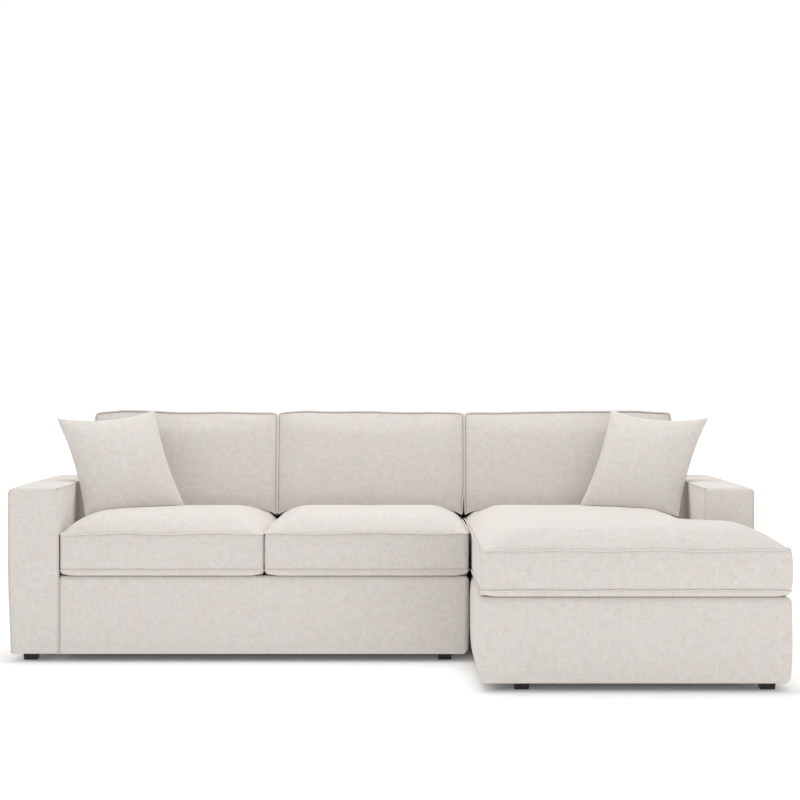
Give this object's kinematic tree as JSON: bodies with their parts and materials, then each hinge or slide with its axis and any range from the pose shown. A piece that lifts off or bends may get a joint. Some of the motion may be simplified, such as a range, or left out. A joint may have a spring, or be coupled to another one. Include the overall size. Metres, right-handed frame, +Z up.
{
  "type": "sectional_sofa",
  "caption": "Sectional sofa with a right-hand chaise, loose boxed seat and back cushions, square arms, throw pillows and low block feet",
  "frame": {"origin": "on the floor, at the middle of the footprint of both units", "axes": "+X towards the chaise, to the right of someone facing the sofa; +Y towards the back rests; +Z up"},
  "size_m": [2.69, 1.7, 0.8942],
  "materials": {
    "upholstery": "slubby linen-look plain weave, warm ivory",
    "deck_cloth": "plain decking cloth",
    "cambric": "black non-woven dust cloth",
    "wadding": "polyester fibre wadding",
    "filling": "foam and fibre filling",
    "webbing": "woven elastic webbing",
    "timber": "planed softwood and plywood, unfinished",
    "foot_plastic": "black moulded plastic, satin",
    "zinc_steel": "zinc-plated steel"
  },
  "bodies": {
    "loveseat_unit": {"loveseat_base_cover": "upholstery", "loveseat_deck_cloth": "deck_cloth", "loveseat_base_wadding": "wadding", "loveseat_dust_cover": "cambric", "left_arm_cover": "upholstery", "left_arm_wadding": "wadding", "left_arm_frame": "timber", "loveseat_back_cover": "upholstery", "loveseat_back_wadding": "wadding", "loveseat_back_frame": "timber", "loveseat_back_webbing": "webbing", "loveseat_seat_webbing": "webbing", "loveseat_front_rail": "timber", "loveseat_rear_rail": "timber", "loveseat_side_rails": "timber", "loveseat_corner_blocks": "timber", "loveseat_connector_keepers": "zinc_steel", "loveseat_screws": "zinc_steel", "loveseat_foot_front_left": "foot_plastic", "loveseat_foot_front_right": "foot_plastic", "loveseat_foot_rear_left": "foot_plastic", "loveseat_foot_rear_right": "foot_plastic"},
    "chaise_unit": {"chaise_base_cover": "upholstery", "chaise_deck_cloth": "deck_cloth", "chaise_base_wadding": "wadding", "chaise_dust_cover": "cambric", "right_arm_cover": "upholstery", "right_arm_wadding": "wadding", "right_arm_frame": "timber", "chaise_back_cover": "upholstery", "chaise_back_wadding": "wadding", "chaise_back_frame": "timber", "chaise_back_webbing": "webbing", "chaise_seat_webbing": "webbing", "chaise_front_rail": "timber", "chaise_rear_rail": "timber", "chaise_side_rails": "timber", "chaise_corner_blocks": "timber", "chaise_connector_hooks": "zinc_steel", "chaise_screws": "zinc_steel", "chaise_foot_front_left": "foot_plastic", "chaise_foot_front_right": "foot_plastic", "chaise_foot_rear_left": "foot_plastic", "chaise_foot_rear_right": "foot_plastic"},
    "seat_cushion_left": {"seat_cushion_left_cover": "upholstery", "seat_cushion_left_core": "filling"},
    "seat_cushion_centre": {"seat_cushion_centre_cover": "upholstery", "seat_cushion_centre_core": "filling"},
    "back_cushion_left": {"back_cushion_left_cover": "upholstery", "back_cushion_left_core": "filling"},
    "back_cushion_centre": {"back_cushion_centre_cover": "upholstery", "back_cushion_centre_core": "filling"},
    "throw_pillow_left": {"throw_pillow_left_cover": "upholstery", "throw_pillow_left_insert": "filling"},
    "chaise_cushion": {"chaise_cushion_cover": "upholstery", "chaise_cushion_core": "filling"},
    "back_cushion_right": {"back_cushion_right_cover": "upholstery", "back_cushion_right_core": "filling"},
    "throw_pillow_right": {"throw_pillow_right_cover": "upholstery", "throw_pillow_right_insert": "filling"}
  },
  "joints": [
    {"name": "chaise_unhook", "type": "slide", "parent": "loveseat_unit", "child": "chaise_unit", "axis": [0, 0, 1], "range_m": [0, 0.06]},
    {"name": "seat_cushion_left_slide", "type": "slide", "parent": "loveseat_unit", "child": "seat_cushion_left", "axis": [0, -1, 0], "range_m": [0, 0.6]},
    {"name": "seat_cushion_centre_slide", "type": "slide", "parent": "loveseat_unit", "child": "seat_cushion_centre", "axis": [0, -1, 0], "range_m": [0, 0.6]},
    {"name": "back_cushion_left_lift", "type": "slide", "parent": "loveseat_unit", "child": "back_cushion_left", "axis": [0, 0.1305, 0.9914], "range_m": [0, 0.4]},
    {"name": "back_cushion_centre_lift", "type": "slide", "parent": "loveseat_unit", "child": "back_cushion_centre", "axis": [0, 0.1305, 0.9914], "range_m": [0, 0.4]},
    {"name": "throw_pillow_left_lift", "type": "slide", "parent": "loveseat_unit", "child": "throw_pillow_left", "axis": [0, 0, 1], "range_m": [0, 0.35]},
    {"name": "chaise_cushion_slide", "type": "slide", "parent": "chaise_unit", "child": "chaise_cushion", "axis": [0, -1, 0], "range_m": [0, 0.6]},
    {"name": "back_cushion_right_lift", "type": "slide", "parent": "chaise_unit", "child": "back_cushion_right", "axis": [0, 0.1305, 0.9914], "range_m": [0, 0.4]},
    {"name": "throw_pillow_right_lift", "type": "slide", "parent": "chaise_unit", "child": "throw_pillow_right", "axis": [0, 0, 1], "range_m": [0, 0.35]}
  ]
}
